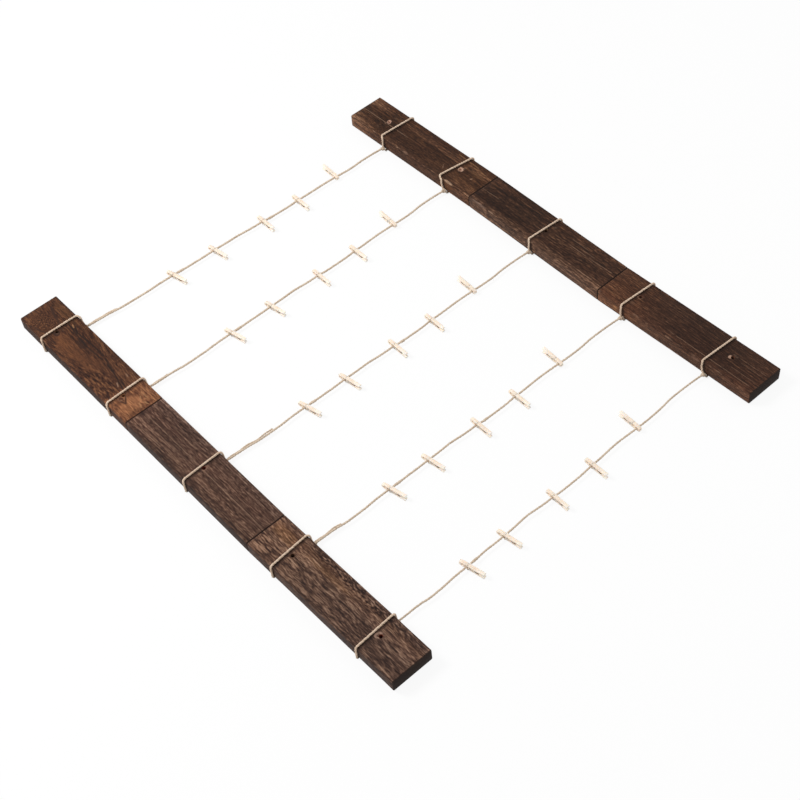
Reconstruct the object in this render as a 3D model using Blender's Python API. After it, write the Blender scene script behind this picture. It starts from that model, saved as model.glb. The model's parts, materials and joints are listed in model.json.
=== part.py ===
# Clip photo display frame: two bars, each of three wooden sections joined end to end, tied together by
# five twines that carry small spring clips. Metres, +Z up. The frame lies on its back, as it would on a
# table: X runs from bar to bar, Y runs along the bars, and the origin is the middle of the footprint.

import math

import bmesh
import bpy
from mathutils import Matrix, Vector

# Bars. The seam shares are places along the bar's half length from its middle, far to near
bar_length = 0.7388
left_seam_shares = (0.340, -0.324)
right_seam_shares = (0.3324, -0.330)
bar_width = 0.0567
bar_thickness = 0.0195
bar_edge_radius = 0.0018
bar_edge_steps = 3
seam_gap = 0.0003
span_between_bars = 0.5103
bar_stagger = 0.00925

# Dowels that join the sections, glued in the farther section and loose in the nearer one
dowel_diameter = 0.008
dowel_length = 0.040
dowel_spacing = 0.028
dowel_sides = 12
socket_clearance = 0.0003
socket_extra_depth = 0.001

# Nail holes, as shares of the bar's half length from its middle, far to near
nail_hole_diameter = 0.005
nail_hole_sides = 16
left_hole_shares = (0.8505, 0.4425, 0.0035, -0.4603, -0.8636)
right_hole_shares = (0.8628, 0.463, 0.0028, -0.458, -0.8589)

# Twines. The shares are places along the bar's half length, far to near: where each twine is knotted on
# the inner side of the bar, and how much farther it crosses the top's inner and outer edges.
twine_diameter = 0.0024
wrap_clearance = 0.0003
underside_flat_share = 0.1
left_knot_shares = (0.8372, 0.4459, 0.0068, -0.4472, -0.8385)
right_knot_shares = (0.8057, 0.4602, 0.0041, -0.4479, -0.8153)
left_inner_lean_shares = (0.019, 0.010, 0.006, 0.009, 0.004)
left_outer_lean_shares = (0.023, -0.004, -0.002, -0.001, -0.008)
right_inner_lean_shares = (0.011, 0.026, 0.006, 0.011, 0.014)
right_outer_lean_shares = (0.004, 0.011, -0.002, -0.002, 0.007)
knot_reach = 0.0040
knot_width = 0.0056
knot_length = 0.0064
knot_height = 0.0056
knot_rings = 6
corner_step = math.radians(30)
run_past_wrap = 0.0035

# Clips. Each leg is a stick whose inner side has two grooves for the line and a seat for the spring.
clip_length = 0.035
clip_width = 0.0044
leg_thickness = 0.0034
jaw_tip_thickness = 0.0021
jaw_bevel_length = 0.0055
jaw_gap = 0.0003
pivot_from_tip = 0.01575
line_groove_from_tip = 0.0105
tip_groove_from_tip = 0.0046
line_groove_half_width = 0.0026
tip_groove_half_width = 0.00195
groove_depth = 0.00145
groove_steps = 4
handle_angle = math.radians(5.6)
handle_tip_thickness = 0.0020
handle_tip_rounding = 0.0008
flat_past_pivot = 0.0020
floor_clearance = 0.0006

# The clip's wound spring
coil_radius = 0.0013
coil_sides = 10
coil_clearance = 0.0003
coil_inset = 0.0001
wire_diameter = 0.0008
arm_from_tip = 0.0120
arm_groove_depth = 0.0005
arm_groove_width = 0.0012
arm_bedding = 0.0002
arm_side_clearance = 0.0003
arm_start_rise = 0.0010
seat_steps = 5

# Where the clips sit on each twine, as shares of half the span from its middle, far row first. The last
# clip of each row is turned round and bites the line at its very tip.
clip_place_shares = (
    (-0.449, -0.178, 0.149, 0.389, 0.660),
    (-0.482, -0.218, 0.101, 0.357, 0.635),
    (-0.519, -0.262, 0.057, 0.306, 0.599),
    (-0.553, -0.308, 0.005, 0.260, 0.560),
    (-0.587, -0.353, -0.039, 0.219, 0.532),
)
clip_turns = tuple(math.radians(turn) for turn in (11, 8, -1, -1, -3))

# Sizes that follow from the ones above
twine_radius = twine_diameter / 2
wrap_z = twine_radius - underside_flat_share * twine_diameter
bar_bottom = wrap_z + twine_radius + wrap_clearance
bar_top = bar_bottom + bar_thickness
bar_half_length = bar_length / 2
inner_face = span_between_bars / 2
bar_middle = inner_face + bar_width / 2
handle_length = clip_length - pivot_from_tip
handle_inner = jaw_gap / 2 + handle_length * math.tan(handle_angle)
handle_outer = handle_inner + handle_tip_thickness
line_z = floor_clearance + handle_outer
cut_overrun = 0.002

wood_dark = (0.085, 0.045, 0.03, 1)
wood_pale = (0.78, 0.6, 0.42, 1)
jute = (0.5, 0.38, 0.25, 1)


def clear_scene():
    for obj in list(bpy.data.objects):
        bpy.data.objects.remove(obj, do_unlink=True)


def new_collection(name):
    collection = bpy.data.collections.new(name)
    bpy.context.scene.collection.children.link(collection)
    return collection


def new_material(name, colour, roughness):
    material = bpy.data.materials.new(name)
    material.use_nodes = True
    shader = material.node_tree.nodes["Principled BSDF"]
    shader.inputs["Base Color"].default_value = colour
    shader.inputs["Roughness"].default_value = roughness
    shader.inputs["Metallic"].default_value = 0
    return material


def mesh_from(bm, name):
    bmesh.ops.recalc_face_normals(bm, faces=bm.faces)
    mesh = bpy.data.meshes.new(name)
    bm.to_mesh(mesh)
    bm.free()
    return mesh


def add_object(name, data, collection):
    obj = bpy.data.objects.new(name, data)
    collection.objects.link(obj)
    return obj


def add_tool(name, mesh):
    """An object that only cuts or joins others."""
    tool = add_object(name, mesh, tools)
    tool.hide_render = True
    tool.display_type = "WIRE"
    return tool


def add_boolean(obj, tool, operation):
    modifier = obj.modifiers.new(tool.name, "BOOLEAN")
    modifier.operation = operation
    modifier.object = tool
    modifier.solver = "EXACT"


def applied_mesh(obj, name):
    """The object's mesh with its modifiers applied. The object itself is removed."""
    bpy.context.view_layer.update()
    depsgraph = bpy.context.evaluated_depsgraph_get()
    mesh = bpy.data.meshes.new_from_object(obj.evaluated_get(depsgraph))
    mesh.name = name
    bpy.data.objects.remove(obj, do_unlink=True)
    return mesh


def welded(mesh):
    bm = bmesh.new()
    bm.from_mesh(mesh)
    bmesh.ops.remove_doubles(bm, verts=bm.verts, dist=twine_diameter / 1000)
    bmesh.ops.recalc_face_normals(bm, faces=bm.faces)
    bm.to_mesh(mesh)
    bm.free()
    return mesh


def tube_mesh(name, points, radius, smoothness):
    """A closed tube along the points."""
    curve = bpy.data.curves.new(name, "CURVE")
    curve.dimensions = "3D"
    curve.bevel_depth = radius
    curve.bevel_resolution = smoothness
    curve.use_fill_caps = True
    spline = curve.splines.new("POLY")
    spline.points.add(len(points) - 1)
    for place, point in zip(spline.points, points):
        place.co = (*point, 1)
    return welded(applied_mesh(add_object(name, curve, parts), name))


def cylinder_mesh(name, radius, length, sides, matrix):
    bm = bmesh.new()
    bmesh.ops.create_cone(
        bm, cap_ends=True, segments=sides, radius1=radius, radius2=radius, depth=length, matrix=matrix
    )
    return mesh_from(bm, name)


# Bars


def section_ends(side, index):
    """The far and the near end of a section, from the middle of its bar."""
    cuts = [bar_half_length + seam_gap / 2]
    cuts += [share * bar_half_length for share in (left_seam_shares if side < 0 else right_seam_shares)]
    cuts.append(-bar_half_length - seam_gap / 2)
    return cuts[index] - seam_gap / 2, cuts[index + 1] + seam_gap / 2


def section_mesh(name, side, index, flats):
    """One section, with cut lines on both sides of each wrap that keep the flats between wraps whole."""
    far_y, near_y = section_ends(side, index)
    bm = bmesh.new()
    size = Matrix.Diagonal((bar_width, far_y - near_y, bar_thickness, 1))
    place = Matrix.Translation((0, (far_y + near_y) / 2, 0))
    bmesh.ops.create_cube(bm, size=1, matrix=place @ size)
    long_edges = [e for e in bm.edges if abs((e.verts[0].co - e.verts[1].co).y) > (far_y - near_y) / 2]
    bmesh.ops.bevel(
        bm, geom=long_edges, offset=bar_edge_radius, segments=bar_edge_steps, profile=0.5, affect="EDGES"
    )
    for y in flats:
        if near_y < y < far_y:
            everything = bm.verts[:] + bm.edges[:] + bm.faces[:]
            bmesh.ops.bisect_plane(bm, geom=everything, plane_co=(0, y, 0), plane_no=(0, 1, 0))
    return mesh_from(bm, name)


def dowel_tools(name, side, seam, radius, far_reach, near_reach):
    """The pair of round tools at a seam, reaching that far into the sections on its two sides."""
    middle_y = section_ends(side, seam)[1] + (far_reach - near_reach) / 2
    lying = Matrix.Rotation(math.pi / 2, 4, "X")
    made = []
    for number, x in enumerate((-dowel_spacing / 2, dowel_spacing / 2)):
        place = Matrix.Translation((x, middle_y, 0)) @ lying
        tool_name = f"{name}_{number}"
        mesh = cylinder_mesh(tool_name, radius, far_reach + near_reach, dowel_sides, place)
        made.append(add_tool(tool_name, mesh))
    return made


def make_bar_piece(name, side, first, last, hole_shares):
    """The sections first to last of a bar as one solid. side is -1 for the left bar and 1 for the right."""
    flats = flat_ends(side)
    piece = add_object(name, section_mesh(name, side, first, flats), parts)
    half_dowel = dowel_length / 2
    for index in range(first + 1, last + 1):
        next_name = f"{name}_section_{index}"
        next_section = section_mesh(next_name, side, index, flats)
        add_boolean(piece, add_tool(next_name, next_section), "UNION")
        for tool in dowel_tools(f"{next_name}_dowel", side, index - 1, dowel_diameter / 2, half_dowel, half_dowel):
            add_boolean(piece, tool, "UNION")
    if last < len(left_seam_shares):
        for tool in dowel_tools(f"{name}_dowel", side, last, dowel_diameter / 2, half_dowel, half_dowel):
            add_boolean(piece, tool, "UNION")
    if first > 0:
        radius = dowel_diameter / 2 + socket_clearance
        depth = half_dowel + socket_extra_depth
        for tool in dowel_tools(f"{name}_socket", side, first - 1, radius, cut_overrun, depth):
            add_boolean(piece, tool, "DIFFERENCE")
    far_y = section_ends(side, first)[0]
    near_y = section_ends(side, last)[1]
    for number, share in enumerate(hole_shares):
        y = share * bar_half_length
        if near_y < y < far_y:
            tool_name = f"{name}_hole_{number}"
            length = bar_thickness + 2 * cut_overrun
            mesh = cylinder_mesh(
                tool_name, nail_hole_diameter / 2, length, nail_hole_sides, Matrix.Translation((0, y, 0))
            )
            add_boolean(piece, add_tool(tool_name, mesh), "DIFFERENCE")
    mesh = applied_mesh(piece, name)
    bar = add_object(name, mesh, parts)
    bar.location = (side * bar_middle, -side * bar_stagger / 2, (bar_bottom + bar_top) / 2)
    mesh.materials.append(dark_wood)
    return bar


# Twines


def bar_y(side, share):
    """A place along a bar, from its share of the bar's half length."""
    return -side * bar_stagger / 2 + share * bar_half_length


def wrap_points(side, knot_y, top_inner_y, top_outer_y):
    """The twine from its tail in the knot, once round a bar and back to the knot."""
    offset = wrap_clearance + twine_radius
    radius = (bar_edge_radius + offset) / math.cos(corner_step / 2)
    far_out = bar_width - bar_edge_radius
    low = bar_bottom + bar_edge_radius
    high = bar_top - bar_edge_radius
    steps = round(math.pi / 2 / corner_step)
    # Each corner is its centre, its first angle, and the twine's y there. Angles turn from straight down.
    corners = (
        (bar_edge_radius, low, -1, knot_y),
        (far_out, low, 0, top_outer_y),
        (far_out, high, 1, top_outer_y),
        (bar_edge_radius, high, 2, top_inner_y),
    )
    points = [(-knot_reach, knot_y, line_z)]
    for out, z, quarter, y in corners:
        first = 1 if quarter == -1 else 0
        for step in range(first, steps + 1):
            angle = quarter * math.pi / 2 + step * corner_step
            points.append((out + radius * math.sin(angle), y, z - radius * math.cos(angle)))
    inner_run = -offset
    points.append((inner_run, (2 * knot_y + top_inner_y) / 3, bar_bottom + knot_height))
    points.append((-knot_reach, knot_y, line_z + twine_radius))
    return [(side * (inner_face + out), y, z) for out, y, z in points]


def row_ends(row):
    left = Vector((-inner_face + knot_reach, bar_y(-1, left_knot_shares[row]), line_z))
    right = Vector((inner_face - knot_reach, bar_y(1, right_knot_shares[row]), line_z))
    return left, right


def row_ys(row, side):
    """Where the twine is knotted, and where it crosses the inner and outer edges of a bar's top."""
    if side < 0:
        tables = (left_knot_shares, left_inner_lean_shares, left_outer_lean_shares)
    else:
        tables = (right_knot_shares, right_inner_lean_shares, right_outer_lean_shares)
    knot, inner, outer = (table[row] for table in tables)
    return bar_y(side, knot), bar_y(side, knot + inner), bar_y(side, knot + outer)


def flat_ends(side):
    """Where the clear lengths of a bar begin and end, just past each wrap, measured from its middle."""
    ends = []
    for row in range(len(left_knot_shares)):
        crossings = [y - bar_y(side, 0) for y in row_ys(row, side)]
        ends += [min(crossings) - run_past_wrap, max(crossings) + run_past_wrap]
    return ends


def knot_tool(name, place):
    bm = bmesh.new()
    placed = Matrix.Translation(place) @ Matrix.Diagonal((knot_width, knot_length, knot_height, 1))
    bmesh.ops.create_uvsphere(
        bm, u_segments=2 * knot_rings, v_segments=knot_rings, radius=0.5, matrix=placed
    )
    return add_tool(name, mesh_from(bm, name))


def floor_tool():
    """A slab whose top is the table, which cuts the wraps flat where the frame rests on them."""
    bm = bmesh.new()
    wide = span_between_bars + 2 * bar_width + 4 * twine_diameter
    size = Matrix.Diagonal((wide, bar_length, twine_diameter, 1))
    bmesh.ops.create_cube(bm, size=1, matrix=Matrix.Translation((0, 0, -twine_diameter / 2)) @ size)
    return add_tool("table_cut", mesh_from(bm, "table_cut"))


def make_twine(row, floor):
    name = f"twine_{row + 1}"
    left, right = row_ends(row)
    start = wrap_points(-1, *row_ys(row, -1))
    end = wrap_points(1, *row_ys(row, 1))
    mesh = tube_mesh(f"{name}_tube", start + [left, right] + end[::-1], twine_radius, 2)
    twine = add_object(f"{name}_tied", mesh, parts)
    for number, place in enumerate((left, right)):
        add_boolean(twine, knot_tool(f"{name}_knot_{number}", place), "UNION")
    add_boolean(twine, floor, "DIFFERENCE")
    solid = applied_mesh(twine, name)
    solid.materials.append(cord)
    return add_object(name, solid, parts)


# Clips. A leg's outline is drawn around the spring's axis: u runs from the jaws to the handle, and t from
# the middle of the clip outwards.


def groove_outline(middle, half_width):
    middle_u = middle - pivot_from_tip
    floor = jaw_gap / 2
    angles = [math.pi * (1 - step / groove_steps) for step in range(groove_steps + 1)]
    return [(middle_u + half_width * math.cos(a), floor + groove_depth * math.sin(a)) for a in angles]


def seat_outline(radius):
    """The round seat of the spring, from the flat of the jaws to the slope of the handle."""
    first = math.pi - math.asin(jaw_gap / 2 / radius)
    last = handle_angle + math.asin(jaw_gap / 2 * math.cos(handle_angle) / radius)
    angles = [first + (last - first) * step / seat_steps for step in range(seat_steps + 1)]
    return [(radius * math.cos(a), radius * math.sin(a)) for a in angles]


def leg_outline(seat_radius):
    top = jaw_gap / 2 + leg_thickness
    arm_u = arm_from_tip - pivot_from_tip
    points = [(-pivot_from_tip, jaw_gap / 2)]
    points += groove_outline(tip_groove_from_tip, tip_groove_half_width)
    points += groove_outline(line_groove_from_tip, line_groove_half_width)
    points += seat_outline(seat_radius)
    points += [
        (handle_length, handle_inner),
        (handle_length, handle_outer - handle_tip_rounding),
        (handle_length - handle_tip_rounding, handle_outer),
        (flat_past_pivot, top),
        (arm_u + arm_groove_width / 2, top),
        (arm_u + arm_groove_width / 2, top - arm_groove_depth),
        (arm_u - arm_groove_width / 2, top - arm_groove_depth),
        (arm_u - arm_groove_width / 2, top),
        (jaw_bevel_length - pivot_from_tip, top),
        (-pivot_from_tip, jaw_gap / 2 + jaw_tip_thickness),
    ]
    return points


def stick_mesh(name, seat_radius, side):
    """A leg cut from the outline, upright along Z. side is 1 for the upper leg and -1 for the lower one."""
    curve = bpy.data.curves.new(name, "CURVE")
    curve.dimensions = "2D"
    curve.fill_mode = "BOTH"
    curve.extrude = clip_width / 2
    spline = curve.splines.new("POLY")
    outline = leg_outline(seat_radius)
    spline.points.add(len(outline) - 1)
    for place, (u, t) in zip(spline.points, outline):
        place.co = (u, side * t, 0, 1)
    spline.use_cyclic_u = True
    mesh = applied_mesh(add_object(name, curve, parts), name)
    mesh.transform(Matrix.Rotation(math.pi / 2, 4, "X"))
    return welded(mesh)


def arm_mesh(name, side):
    """The spring's arm on one leg: along the leg's cheek from the coil, then across its back."""
    cheek = clip_width / 2 + arm_side_clearance + wire_diameter / 2
    back = jaw_gap / 2 + leg_thickness - arm_groove_depth - arm_bedding + wire_diameter / 2
    arm_u = arm_from_tip - pivot_from_tip
    points = [
        (0, side * cheek, side * arm_start_rise),
        (arm_u, side * cheek, side * back),
        (arm_u, -side * clip_width / 2, side * back),
    ]
    return tube_mesh(name, points, wire_diameter / 2, 1)


def lower_leg_mesh():
    """The lower leg with the spring, whose coil lies in its seat and whose lower arm crosses its back."""
    name = "lower_leg"
    leg = add_object(name, stick_mesh(name, coil_radius - coil_inset, -1), parts)
    add_boolean(leg, add_tool("lower_arm", arm_mesh("lower_arm", -1)), "UNION")
    far_end = clip_width / 2 - coil_inset
    near_end = -clip_width / 2 - arm_side_clearance - wire_diameter
    place = Matrix.Translation((0, (far_end + near_end) / 2, 0)) @ Matrix.Rotation(math.pi / 2, 4, "X")
    coil = cylinder_mesh("coil", coil_radius, far_end - near_end, coil_sides, place)
    add_boolean(leg, add_tool("coil", coil), "UNION")
    return applied_mesh(leg, name)


def upper_leg_mesh():
    """The upper leg with the arm of the spring that turns with it."""
    name = "upper_leg"
    leg = add_object(name, stick_mesh(name, coil_radius + coil_clearance, 1), parts)
    add_boolean(leg, add_tool("upper_arm", arm_mesh("upper_arm", 1)), "UNION")
    return applied_mesh(leg, name)


def make_clip(row, column, lower, upper):
    """A clip on its twine, lower and upper legs turned about the spring's axis."""
    left, right = row_ends(row)
    on_line = left.lerp(right, (1 + clip_place_shares[row][column]) / 2)
    turned = column == len(clip_place_shares[row]) - 1
    heading = (math.pi / 2 if turned else -math.pi / 2) + clip_turns[column]
    grip = tip_groove_from_tip if turned else line_groove_from_tip
    along = Vector((math.cos(heading), math.sin(heading), 0))
    for leg_name, mesh in (("lower_leg", lower), ("upper_leg", upper)):
        leg = add_object(f"clip_{row + 1}{column + 1}_{leg_name}", mesh, parts)
        leg.location = on_line + along * (pivot_from_tip - grip)
        leg.rotation_euler = (0, 0, heading)


def main():
    make_bar_piece("left_bar_far_section", -1, 0, 0, left_hole_shares)
    make_bar_piece("left_bar_middle_section", -1, 1, 1, left_hole_shares)
    make_bar_piece("left_bar_near_section", -1, 2, 2, left_hole_shares)
    make_bar_piece("right_bar_far_and_middle_sections", 1, 0, 1, right_hole_shares)
    make_bar_piece("right_bar_near_section", 1, 2, 2, right_hole_shares)

    floor = floor_tool()
    for row in range(len(clip_place_shares)):
        make_twine(row, floor)

    lower = lower_leg_mesh()
    upper = upper_leg_mesh()
    for mesh in (lower, upper):
        mesh.materials.append(pale_wood)
    for row, shares in enumerate(clip_place_shares):
        for column in range(len(shares)):
            make_clip(row, column, lower, upper)


clear_scene()
parts = new_collection("clip_photo_display_frame")
tools = new_collection("cutters")
dark_wood = new_material("stained_wood", wood_dark, 0.6)
pale_wood = new_material("peg_wood", wood_pale, 0.55)
cord = new_material("jute_twine", jute, 0.9)
main()
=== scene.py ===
# Clip photo display frame: two jointed wooden bars, five rows of jute twine and twenty-five little clips.
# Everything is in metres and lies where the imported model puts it.
import json
import math
import random

import bmesh
import bpy
from mathutils import Matrix, Vector, noise


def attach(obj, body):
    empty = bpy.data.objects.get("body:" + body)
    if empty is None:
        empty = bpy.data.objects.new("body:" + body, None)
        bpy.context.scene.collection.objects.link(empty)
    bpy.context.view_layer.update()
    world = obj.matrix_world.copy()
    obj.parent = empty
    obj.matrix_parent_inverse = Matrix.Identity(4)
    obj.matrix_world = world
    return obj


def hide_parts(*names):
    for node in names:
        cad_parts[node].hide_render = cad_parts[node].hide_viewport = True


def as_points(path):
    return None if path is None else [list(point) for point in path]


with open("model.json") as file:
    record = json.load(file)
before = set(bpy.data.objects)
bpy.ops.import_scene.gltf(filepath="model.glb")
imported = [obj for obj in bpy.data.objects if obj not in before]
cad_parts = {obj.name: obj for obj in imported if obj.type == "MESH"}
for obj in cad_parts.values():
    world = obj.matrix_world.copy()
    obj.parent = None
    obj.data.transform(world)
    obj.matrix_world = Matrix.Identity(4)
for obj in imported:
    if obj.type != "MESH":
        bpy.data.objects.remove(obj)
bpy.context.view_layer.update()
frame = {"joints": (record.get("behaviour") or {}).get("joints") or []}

print("packed model loaded")

rows = 5
columns = 5
joints = {joint["name"]: joint for joint in frame["joints"]}


def hingeOf(row, column):
    return joints[f"clip_{row + 1}{column + 1}_open"]


# Small helpers for modelling

def addObject(name, data):
    obj = bpy.data.objects.new(name, data)
    bpy.context.scene.collection.objects.link(obj)
    return obj


def makeActive(obj):
    bpy.ops.object.select_all(action="DESELECT")
    obj.select_set(True)
    bpy.context.view_layer.objects.active = obj


def applyScale(obj, scale=(1, 1, 1)):
    makeActive(obj)
    obj.scale = scale
    bpy.ops.object.transform_apply(location=True, rotation=True, scale=True)
    return obj


def newBlock(name, size, place):
    bpy.ops.mesh.primitive_cube_add(size=1, location=place)
    block = bpy.context.active_object
    block.name = block.data.name = name
    return applyScale(block, size)


def newRod(name, radius, length, place, turn=(0, 0, 0), sides=24, topRadius=None):
    bpy.ops.mesh.primitive_cone_add(
        vertices=sides, radius1=radius, radius2=topRadius or radius, depth=length, location=place, rotation=turn
    )
    bpy.context.active_object.name = name
    return applyScale(bpy.context.active_object)


def edit(obj):
    makeActive(obj)
    bpy.ops.object.mode_set(mode="EDIT")


def leaveEdit():
    bpy.ops.object.mode_set(mode="OBJECT")


def pick(obj, kind, wanted):
    # Picks points, or edges by the places of their two ends
    bpy.ops.mesh.select_mode(type=kind)
    bpy.ops.mesh.select_all(action="DESELECT")
    shape = bmesh.from_edit_mesh(obj.data)
    if kind == "VERT":
        chosen = [vert for vert in shape.verts if wanted(vert.co)]
    else:
        chosen = [line for line in shape.edges if wanted(line.verts[0].co, line.verts[1].co)]
    for part in chosen:
        part.select_set(True)
    if kind == "VERT":
        shape.select_flush_mode()
    bmesh.update_edit_mesh(obj.data)


def useModifier(obj, kind, **settings):
    makeActive(obj)
    modifier = obj.modifiers.new("change", kind)
    for key, value in settings.items():
        setattr(modifier, key, value)
    bpy.ops.object.modifier_apply(modifier=modifier.name)


def cutAway(obj, cutter):
    useModifier(obj, "BOOLEAN", operation="DIFFERENCE", solver="EXACT", object=cutter)
    bpy.data.objects.remove(cutter, do_unlink=True)


def smoothByAngle(obj, angle):
    makeActive(obj)
    bpy.ops.object.shade_smooth_by_angle(angle=math.radians(angle))


# Helpers for shader nodes

class Value:
    # A node's output that is reckoned with like a number, a place or a colour
    def __init__(self, socket):
        self.socket = socket
        self.tree = socket.id_data

    def reckon(self, operation, *others, output=0, **settings):
        kind = "VectorMath" if self.socket.type in ("VECTOR", "RGBA") else "Math"
        values = dict(enumerate((self, *others)))
        return addNode(self.tree, kind, values, output, operation=operation, **settings)

    def __add__(self, other):
        return self.reckon("ADD", other)

    __radd__ = __add__

    def __sub__(self, other):
        return self.reckon("SUBTRACT", other)

    def __rsub__(self, other):
        return addNode(self.tree, "Math", {0: other, 1: self}, operation="SUBTRACT")

    def __mul__(self, other):
        return self.reckon("MULTIPLY", other)

    def scaled(self, amount):
        # A place times a number. With multiplying here and for stretched grain, the left far board rendered black
        return addNode(self.tree, "VectorMath", {0: self, "Scale": amount}, operation="SCALE")

    def between(self, low, high, toLow=0.0, toHigh=1.0, steps="LINEAR"):
        values = {"Value": self, "From Min": low, "From Max": high, "To Min": toLow, "To Max": toHigh}
        return addNode(self.tree, "MapRange", values, interpolation_type=steps)

    def grain(self, scale, detail=3, roughness=0.6):
        # Noise; a scale with three values stretches it
        if isinstance(scale, Value):
            return (self * scale).grain(1.0, detail, roughness)
        if isinstance(scale, tuple):
            return addNode(self.tree, "Mapping", {"Vector": self, "Scale": scale}).grain(1.0, detail, roughness)
        values = {"Vector": self, "Scale": scale, "Detail": detail, "Roughness": roughness}
        return addNode(self.tree, "TexNoise", values)

    def mixed(self, share, colour, blend="MIX"):
        node = newNode(self.tree, "Mix", {}, data_type="RGBA", blend_type=blend)
        for number, value in ((0, share), (6, self), (7, colour)):
            feed(node.inputs[number], value)
        return Value(node.outputs[2])

    def tinted(self, colour):
        return self.mixed(1.0, colour if isinstance(colour, Value) else (*colour, 1), "MULTIPLY")

    def ramp(self, stops):
        node = newNode(self.tree, "ValToRGB", {0: self})
        bits = node.color_ramp.elements
        while len(bits) < len(stops):
            bits.new(0.5)
        for bit, (place, colour) in zip(bits, stops):
            bit.position = place
            bit.color = colour
        return Value(node.outputs[0])

    def painted(self, *stops):
        return self.ramp([(place, paint(*colour)) for place, *colour in stops])


def feed(socket, value):
    if isinstance(value, Value):
        socket.id_data.links.new(value.socket, socket)
    else:
        socket.default_value = value


def newNode(tree, kind, values, **settings):
    node = tree.nodes.new(f"ShaderNode{kind}")
    for key, value in settings.items():
        setattr(node, key, value)
    for key, value in values.items():
        feed(node.inputs[key], value)
    return node


def addNode(tree, kind, values={}, output=0, **settings):
    return Value(newNode(tree, kind, values, **settings).outputs[output])


def outputsOf(node):
    return {socket.name: Value(socket) for socket in node.outputs}


def paint(red, green, blue):
    return tuple(((c / 255 + 0.055) / 1.055) ** 2.4 if c > 10 else c / 255 / 12.92 for c in (red, green, blue)) + (1,)


def newGroup(name, inputs, outputs):
    group = bpy.data.node_groups.new(name, "ShaderNodeTree")
    for label, value in inputs.items():
        kind = "NodeSocketVector" if isinstance(value, tuple) else "NodeSocketFloat"
        group.interface.new_socket(name=label, in_out="INPUT", socket_type=kind).default_value = value
    for label in outputs:
        group.interface.new_socket(name=label, in_out="OUTPUT", socket_type="NodeSocketFloat")
    return group, outputsOf(group.nodes.new("NodeGroupInput")), group.nodes.new("NodeGroupOutput").inputs


def useGroup(tree, group, values):
    node = newNode(tree, "Group", {}, node_tree=group)
    for key, value in values.items():
        feed(node.inputs[key], value)
    return outputsOf(node)


def newMaterial(name, dress, *details):
    # dress works out the shader's values from the tree and the place on the piece
    material = bpy.data.materials.new(name)
    material.use_nodes = True
    tree = material.node_tree
    place = addNode(tree, "TexCoord", output="Object")
    for key, value in dress(tree, place, *details).items():
        feed(tree.nodes["Principled BSDF"].inputs[key], value)
    return material


def bumped(height, strength, depth):
    return addNode(height.tree, "Bump", {"Strength": strength, "Distance": depth, "Height": height})


def attributeOf(tree, name, output="Fac"):
    return addNode(tree, "Attribute", output=output, attribute_name=name)


# Camera, as the photograph was taken
camera = {
    "place": (-0.7493, -1.0184, 1.4493),
    "turn": (39.144, 4.046, -41.746),
    "lens": 67.95,
}


def setCamera():
    photoCamera = addObject("photoCamera", bpy.data.cameras.new("photoCamera"))
    photoCamera.data.lens = camera["lens"]
    photoCamera.location = camera["place"]
    photoCamera.rotation_euler = [math.radians(turn) for turn in camera["turn"]]
    bpy.context.scene.camera = photoCamera


setCamera()
print("camera set")


# Bars, as the twines and the boards need them. The seams are shares of the half length from the middle
bars = {
    "halfLength": 0.3694,
    "innerFace": 0.25515,
    "width": 0.0567,
    "bottom": 0.00246,
    "thickness": 0.0195,
    "corner": 0.0018,
    "stagger": 0.00925,
    "seams": {-1: (0.340, -0.324), 1: (0.3324, -0.330)},
    "seam": 0.0003,
}
top = bars["bottom"] + bars["thickness"]

# How far each bar strays from a straight line, towards +X, at its far end, its two seams and its near end
sway = {-1: (0.0016, -0.0004, -0.0026, -0.0003), 1: (-0.0010, 0.0007, -0.0032, 0.0004)}


def alongBar(side, share):
    return -side * bars["stagger"] / 2 + share * bars["halfLength"]


def sectionEnds(side):
    return [alongBar(side, share) for share in (1.0, *bars["seams"][side], -1.0)]


def boardEnds(side, section):
    cuts = sectionEnds(side)
    far = cuts[section] - (bars["seam"] / 2 if section > 0 else 0)
    near = cuts[section + 1] + (bars["seam"] / 2 if section < 2 else 0)
    return far, near


def swayAt(side, y):
    cuts = sectionEnds(side)
    number = 0
    while number < 2 and y < cuts[number + 1]:
        number += 1
    share = min(max((cuts[number] - y) / (cuts[number] - cuts[number + 1]), 0.0), 1.0)
    return sway[side][number] + (sway[side][number + 1] - sway[side][number]) * share


# Twines

twine = {
    "diameter": 0.0024,
    "strandRadius": 0.00092,
    "strandOffset": 0.00036,
    "uneven": 0.09,
    "lay": 0.0078,
    "ringStep": 0.0006,
    "ringSides": 8,
    "wrapSwell": 1.10,
    "spanSwell": (1.22, 1.18, 1.13, 1.10, 1.04),
    "slubSwell": 0.36,
    "clearance": 0.0003,
    "lineHeight": 0.004637,
    "knotReach": 0.004,
    "cornerSteps": 6,
    "wrapStart": (-0.0024, 0.0040),
    "wrapEnd": ((-0.0019, 1.0, 0.0150), (-0.0023, 0.75, 0.0115), (-0.0028, 0.5, 0.0082), (-0.0033, 0.0, 0.0062)),
    "underShift": 0.0028,
}
knotX = bars["innerFace"] - twine["knotReach"]

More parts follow.
